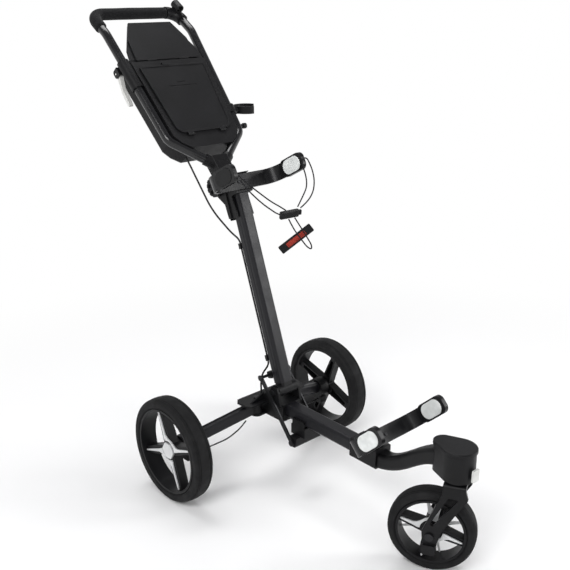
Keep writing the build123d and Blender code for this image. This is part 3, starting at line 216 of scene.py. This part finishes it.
def braid():
    f = Finish("cord_braid", (0.010, 0.010, 0.011), 0.7, spec=0.2)
    waves = []
    for turn in (radians(50), radians(-50)):
        wave = f.node("ShaderNodeTexWave", Scale=420.0, Distortion=0.6)
        f.link(f.stretched((1, 1, 1), (turn, turn, 0)), wave.inputs["Vector"])
        waves.append(wave.outputs["Fac"])
    mix = f.node("ShaderNodeMath")
    mix.operation = "MAXIMUM"
    f.link(waves[0], mix.inputs[0])
    f.link(waves[1], mix.inputs[1])
    f.vary_color(mix.outputs[0], 0.3, 0.95, (0.003, 0.003, 0.0035), (0.014, 0.014, 0.016))
    return f.bump(mix.outputs[0], 0.00025, 0.8).done()


def housing():
    f = Finish("cable_housing", (0.006, 0.006, 0.0065), 0.42, spec=0.3)
    f.vary_color(f.noise(60.0, 3), 0.3, 0.7, (0.004, 0.004, 0.0045), (0.009, 0.009, 0.0095))
    f.vary_rough(f.noise(90.0, 3), 0.34, 0.5)
    return f.bump(f.noise(1600.0, 2), 0.00003, 0.5).done()


def woven(name, dark, light):
    f = Finish(name, light, 0.8, spec=0.25)
    wave = f.node("ShaderNodeTexWave", Scale=500.0, Distortion=0.3)
    f.link(f.stretched((1, 0.4, 0.7), (0, 0, radians(40))), wave.inputs["Vector"])
    f.vary_color(wave.outputs["Fac"], 0.2, 0.9, dark, light)
    return f.bump(wave.outputs["Fac"], 0.0002, 0.6).done()


finishes = {
    "anodised_tube": anodised(),
    "moulded_black": moulded("moulded_black", (0.0035, 0.0035, 0.004), (0.007, 0.007, 0.008), 0.42, 0.00006),
    "console_black": moulded("console_black", (0.0045, 0.0045, 0.005), (0.009, 0.009, 0.010), 0.50, 0.00008),
    "gloss_black": glossy(),
    "tyre": tyre_rubber(),
    "silver_trim": silver(),
    "pad_white": pale("pad_white", (0.62, 0.64, 0.63), (0.78, 0.80, 0.79), 0.52),
    "lever_pale": pale("lever_pale", (0.60, 0.60, 0.58), (0.74, 0.74, 0.72), 0.40),
    "foam": foam(),
    "steel": metal("steel", (0.55, 0.55, 0.56), 0.3),
    "black_steel": metal("black_steel", (0.018, 0.018, 0.020), 0.36, True),
    "cord": braid(),
    "cable": housing(),
}
tube_finish = tube_gloss()
slots = {s["node"]: s["material_slot"] for s in frame["record"]["subparts"]}

for name, obj in nodes.items():
    finish = tube_finish if name == "handle_tube" else finishes[slots[name]]
    obj.data.materials.clear()
    obj.data.materials.append(finish)
    obj.data.shade_smooth()
    obj.data.set_sharp_from_angle(angle=SHARP_EDGE)


def darken_side(obj, material, side):
    """Gives the faces on one side of the cart (side is -1 or 1 along X) another material."""
    obj.data.materials.append(material)
    for face in obj.data.polygons:
        if (obj.matrix_world @ face.center).x * side > 0:
            face.material_index = 1


darken_side(nodes["upper_cradle_pads"], finishes["moulded_black"], -1)


# ---- cords of the upper cradle --------------------------------------------------------------
def at(x, y, z):
    return Vector((x / 1000, y / 1000 + axle_y, z / 1000))


def route_curve(name, points, radius, material):
    data = bpy.data.curves.new(name, "CURVE")
    data.dimensions = "3D"
    data.resolution_u = 12
    data.bevel_depth = radius
    data.bevel_resolution = 5
    data.use_fill_caps = True
    line = data.splines.new("NURBS")
    line.points.add(len(points) - 1)
    for p, q in zip(line.points, points):
        p.co = (*at(*q), 1)
    line.order_u = 3
    line.use_endpoint_u = True
    obj = bpy.data.objects.new(name, data)
    bpy.context.scene.collection.objects.link(obj)
    data.materials.append(material)
    return obj


def spline_length(obj):
    bare = obj.data.copy()
    bare.bevel_depth = 0
    probe = bpy.data.objects.new("probe", bare)
    mesh = bpy.data.meshes.new_from_object(probe)
    pts = [v.co.copy() for v in mesh.vertices]
    bpy.data.objects.remove(probe)
    bpy.data.meshes.remove(mesh)
    return sum((b - a).length for a, b in zip(pts, pts[1:]))


cord_radius = 0.0018
bungee_routes = {
    "bungee_strand_a": [(-109.5, -78, 862), (-105, -94, 844), (-94, -112, 824), (-73, -124, 801),
                        (-42, -122, 780), (-20, -114, 767), (4, -108, 757)],
    "bungee_strand_b": [(-109.5, -71, 872), (-100, -82, 858), (-82, -94, 840), (-56, -101, 818),
                        (-26, -102, 796), (4, -100, 779), (28, -97, 764)],
    "bungee_loop": [(64, -115, 768), (84, -120, 781), (108, -118, 804), (124, -106, 830), (132, -90, 854),
                    (132, -80, 870), (126, -74, 887), (110, -74, 887), (104, -80, 870), (106, -92, 844),
                    (102, -100, 818), (90, -101, 798), (69, -99, 767)],
    "bungee_tail": [(30, -106, 742), (36, -113, 723), (46, -120, 703), (54, -132, 685), (62, -142, 668),
                    (72, -150, 660), (78, -144, 670), (70, -136, 689), (63, -127, 708), (53, -121, 726),
                    (47, -111, 744)],
}
for name, points in bungee_routes.items():
    piece = route_curve(name + "_cord", points, cord_radius, finishes["cord"])
    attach(piece, "column")
    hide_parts(name)
    round(spline_length(piece), 4)

# ---- foam grip and the tab's patch ------------------------------------------------------------
def mesh_piece(name, verts, faces, material):
    mesh = bpy.data.meshes.new(name)
    mesh.from_pydata([tuple(v) for v in verts], [], faces)
    mesh.materials.append(material)
    mesh.shade_smooth()
    mesh.update()
    obj = bpy.data.objects.new(name, mesh)
    bpy.context.scene.collection.objects.link(obj)
    return obj


# Handle, as in part.py: the column leans on its fold pin, the handle tilts on the column's pivot.
HINGE_Y, HINGE_Z = -124, 271
PIVOT_ALONG, PIVOT_BEHIND = 580, 45
GRIP_R = 0.0164             # metres
lean, tilt, loop_turn = radians(19.5), radians(41.9), radians(15)
pivot = Vector((0, HINGE_Y + PIVOT_ALONG * sin(lean) + PIVOT_BEHIND * cos(lean),
                HINGE_Z + PIVOT_ALONG * cos(lean) - PIVOT_BEHIND * sin(lean)))
loop_half, loop_corner, loop_len, bend_q, tube_d = 146, 38, 90, 510, -16


def handle_at(x, d, q):
    """A point given across, behind and along the handle, in millimetres."""
    y = pivot.y + q * sin(tilt) + d * cos(tilt)
    z = pivot.z + q * cos(tilt) - d * sin(tilt)
    return at(x, y, z)


def loop_at(x, run):
    """A point of the loop's plane, run millimetres above the bend."""
    return handle_at(x, tube_d + run * sin(loop_turn), bend_q + run * cos(loop_turn))


def grip_line():
    points = [loop_at(-loop_half, 24 + n * (loop_len - loop_corner - 24) / 6) for n in range(6)]
    for n in range(25):
        a = radians(90) * n / 24
        points.append(loop_at(-loop_half + loop_corner * (1 - cos(a)), loop_len - loop_corner * (1 - sin(a))))
    x0, x1 = -loop_half + loop_corner, loop_half - loop_corner - 2
    points += [loop_at(x0 + (x1 - x0) * n / 40, loop_len) for n in range(1, 41)]
    return points


END_DROP, END_RUN = 0.0022, 0.005      # rounding of the sleeve's ends
SWELL, RIPPLE = 0.00025, 0.00012       # unevenness of the foam


def foam_tube(name, line, radius, sides=40):
    """A foam sleeve: rounded ends, faint swelling along it."""
    length = sum((b - a).length for a, b in zip(line, line[1:]))
    side = (handle_at(0, 10, 0) - handle_at(0, 0, 0)).normalized()
    verts, faces, run = [], [], 0.0
    for i, p in enumerate(line):
        ahead = (line[min(i + 1, len(line) - 1)] - line[max(i - 1, 0)]).normalized()
        u = (side - ahead * side.dot(ahead)).normalized()
        v = ahead.cross(u)
        if i:
            run += (p - line[i - 1]).length
        end = min(run, length - run)
        r = radius - END_DROP * max(0.0, 1 - end / END_RUN) ** 2 + SWELL * sin(run * 61) * sin(run * 23 + 1)
        for k in range(sides):
            a = 2 * pi * k / sides
            verts.append(p + (u * cos(a) + v * sin(a)) * (r + RIPPLE * sin(3 * a + run * 40)))
    for i in range(len(line) - 1):
        for k in range(sides):
            n = (k + 1) % sides
            faces.append((i * sides + k, i * sides + n, (i + 1) * sides + n, (i + 1) * sides + k))
    faces.append(tuple(range(sides - 1, -1, -1)))
    faces.append(tuple((len(line) - 1) * sides + k for k in range(sides)))
    return mesh_piece(name, verts, faces, finishes["foam"])


grip = foam_tube("grip_foam", grip_line(), GRIP_R)
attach(grip, "handle")
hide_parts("grip")


def rounded_outline(half_x, half_y, r, steps=6):
    points = []
    for cx, cy, start in ((1, 1, 0), (-1, 1, 90), (-1, -1, 180), (1, -1, 270)):
        for n in range(steps + 1):
            a = radians(start + 90 * n / steps)
            points.append((cx * (half_x - r) + r * cos(a), cy * (half_y - r) + r * sin(a)))
    return points


# The cloth tab's frame, as in part.py: X along it, Y across it, Z through it.
tab_centre = Vector((50.5, -113, 686))
tab_z = Vector((0.55, 0.85, 0.05)).normalized()
tab_x = Vector((0.74, -0.5, 0.68))
tab_x = (tab_x - tab_z * tab_x.dot(tab_z)).normalized()
tab_y = tab_z.cross(tab_x)
outline = rounded_outline(30, 7, 2.5)
PATCH_BACK, PATCH_FACE = 1.4, 1.9
rows = [tab_centre - tab_z * depth + tab_x * x + tab_y * y
        for depth in (PATCH_BACK, PATCH_FACE) for x, y in outline]
count = len(outline)
patch_faces = [tuple(range(count, 2 * count)), tuple(range(count - 1, -1, -1))]
patch_faces += [(k, (k + 1) % count, count + (k + 1) % count, count + k) for k in range(count)]
patch = mesh_piece("tab_patch", [at(*p) for p in rows], patch_faces,
                   woven("patch_red", (0.22, 0.018, 0.012), (0.42, 0.05, 0.03)))
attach(patch, "column")

# ---- bright trims of the wheels ---------------------------------------------------------------
def trim_outline(tip):
    """One slim angled strip over two neighbouring spokes: along +X, round the hub, along +Y."""
    half = [(tip + 3, 0), (tip, 2.2), (46, 4.2), (38, 8), (31, 14.5), (23.7, 23.7)]
    arc = [(27.5 * cos(radians(a)), 27.5 * sin(radians(a))) for a in range(100, -11, -10)]
    return (half + [(y, x) for x, y in half[-2::-1]] + [(-2.2, tip), (-4.2, 46), (-6, 33)]
            + arc + [(33, -6), (46, -4.2), (tip, -2.2)])


def turned(outline, degrees):
    c, s = cos(radians(degrees)), sin(radians(degrees))
    return [(c * x - s * y, s * x + c * y) for x, y in outline]


def wheel_trims(name, body, replaced, place, tip, first, faces, cap):
    """place(u, v, w) gives the world point of a wheel's own coordinates; faces holds 1 and -1."""
    prisms = [(turned(trim_outline(tip), first + turn), STRIP_FACE) for turn in (0, 180)]
    if cap:
        corners = [(CAP_CORNER * cos(radians(60 * n)), CAP_CORNER * sin(radians(60 * n))) for n in range(6)]
        prisms.append((corners, CAP_FACE))
    shape = bmesh.new()
    for way in faces:
        for outline, top in prisms:
            rings = [[shape.verts.new(place(u, v * way, w * way)) for u, v in outline]
                     for w in (STRIP_BACK, top)]
            shape.faces.new(rings[0])
            shape.faces.new(rings[1])
            for k in range(len(outline)):
                n = (k + 1) % len(outline)
                shape.faces.new((rings[0][k], rings[0][n], rings[1][n], rings[1][k]))
    bmesh.ops.recalc_face_normals(shape, faces=shape.faces)
    mesh = bpy.data.meshes.new(name)
    shape.to_mesh(mesh)
    shape.free()
    mesh.materials.append(finishes["silver_trim"])
    obj = bpy.data.objects.new(name, mesh)
    bpy.context.scene.collection.objects.link(obj)
    bevel = obj.modifiers.new("bevel", "BEVEL")
    bevel.width, bevel.segments, bevel.limit_method = 0.0007, 2, "ANGLE"
    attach(obj, body)
    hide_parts(replaced)


def rear_place(side):
    return lambda u, v, w: at(side * (HALF_TRACK + w), side * u, REAR_WHEEL_R + v)


def front_place(u, v, w):
    x, y = -CASTER_TRAIL * sin(CASTER_TURN), CASTER_Y + CASTER_TRAIL * cos(CASTER_TURN)
    return at(x + u * sin(CASTER_TURN) - w * cos(CASTER_TURN),
              y - u * cos(CASTER_TURN) - w * sin(CASTER_TURN), FRONT_WHEEL_R + v)


body_of = {node: body for body, held in frame["record"]["behaviour"]["bodies"].items() for node in held}
wheel_trims("rear_left_bright", body_of["rear_left_trims"], "rear_left_trims",
            rear_place(-1), REAR_TRIM_TIP, REAR_FIRST_SPOKE, (1,), True)
wheel_trims("rear_right_bright", body_of["rear_right_trims"], "rear_right_trims",
            rear_place(1), REAR_TRIM_TIP, REAR_FIRST_SPOKE, (1,), True)
wheel_trims("front_bright", body_of["front_trims"], "front_trims",
            front_place, FRONT_TRIM_TIP, FRONT_FIRST_SPOKE, (1, -1), False)

# ---- floor, light, camera -------------------------------------------------------------------
FLOOR_R, FLOOR_SIDES = 4.5, 72
floor_middle = Vector((0, -0.3 + axle_y, 0))
step = 360 / FLOOR_SIDES
rim_points = [(floor_middle.x + FLOOR_R * cos(radians(step * n)),
               floor_middle.y + FLOOR_R * sin(radians(step * n)), 0) for n in range(FLOOR_SIDES)]
floor = mesh_piece("floor", rim_points, [tuple(range(FLOOR_SIDES))], None)
ground = Finish("floor_paint", (0.95, 0.95, 0.95), 0.9, spec=0.0)
ground.vary_color(ground.noise(1.2, 2), 0.2, 0.8, (0.945, 0.945, 0.945), (0.955, 0.955, 0.955))
# The floor fades into the white surround, so no edge or horizon shows.
away = ground.node("ShaderNodeVectorMath")
away.operation = "DISTANCE"
ground.link(ground.coords, away.inputs[0])
away.inputs[1].default_value = floor_middle
fade = ground.node("ShaderNodeMapRange")
fade.interpolation_type = "SMOOTHSTEP"
FADE_FROM, FADE_TO = 0.7, 2.0   # metres from the middle of the floor
fade.inputs["From Min"].default_value, fade.inputs["From Max"].default_value = FADE_FROM, FADE_TO
ground.link(away.outputs["Value"], fade.inputs["Value"])
glow = ground.node("ShaderNodeEmission", Color=(1, 1, 1, 1), Strength=1.0)
blend = ground.node("ShaderNodeMixShader")
ground.link(fade.outputs["Result"], blend.inputs[0])
ground.link(ground.shader.outputs[0], blend.inputs[1])
ground.link(glow.outputs[0], blend.inputs[2])
ground.link(blend.outputs[0], ground.tree.nodes["Material Output"].inputs["Surface"])
floor.data.materials[0] = ground.done()

# White round the horizon, dimmer overhead.
world = bpy.data.worlds.new("studio")
bpy.context.scene.world = world
world.use_nodes = True
sky_nodes, sky_links = world.node_tree.nodes, world.node_tree.links
background = sky_nodes["Background"]
background.inputs["Strength"].default_value = 1.0
direction = sky_nodes.new("ShaderNodeTexCoord")
parts = sky_nodes.new("ShaderNodeSeparateXYZ")
sky = sky_nodes.new("ShaderNodeValToRGB")
sky.color_ramp.elements[0].position, sky.color_ramp.elements[1].position = 0.2, 0.5
sky.color_ramp.elements[0].color, sky.color_ramp.elements[1].color = (1, 1, 1, 1), (0.3, 0.3, 0.31, 1)
sky_links.new(direction.outputs["Generated"], parts.inputs[0])
sky_links.new(parts.outputs["Z"], sky.inputs["Fac"])
sky_links.new(sky.outputs["Color"], background.inputs["Color"])

target = Vector((0, -0.1242 + axle_y, 0.5713))


def area(name, place, size, power, aim=target):
    data = bpy.data.lights.new(name, "AREA")
    data.shape = "RECTANGLE"
    data.size, data.size_y = size
    data.energy = power
    obj = bpy.data.objects.new(name, data)
    bpy.context.scene.collection.objects.link(obj)
    obj.location = place
    obj.rotation_euler = (aim - Vector(place)).to_track_quat("-Z", "Y").to_euler()


area("key", (-2.6, -1.4, 3.0), (1.8, 1.2), 70)
area("side", (2.4, -2.4, 1.8), (1.0, 2.0), 45)
area("top", (0.2, 1.0, 3.4), (2.4, 1.0), 50)

camera_data = bpy.data.cameras.new("camera")
camera = bpy.data.objects.new("camera", camera_data)
bpy.context.scene.collection.objects.link(camera)
camera.location = (-1.466, -1.697 + axle_y, 1.316)     # viewing angle of the photograph
camera.rotation_euler = (target - camera.location).to_track_quat("-Z", "Y").to_euler()
camera_data.sensor_width = 36
camera_data.lens = 54.4
bpy.context.scene.camera = camera
bpy.context.scene.view_settings.view_transform = "Standard"
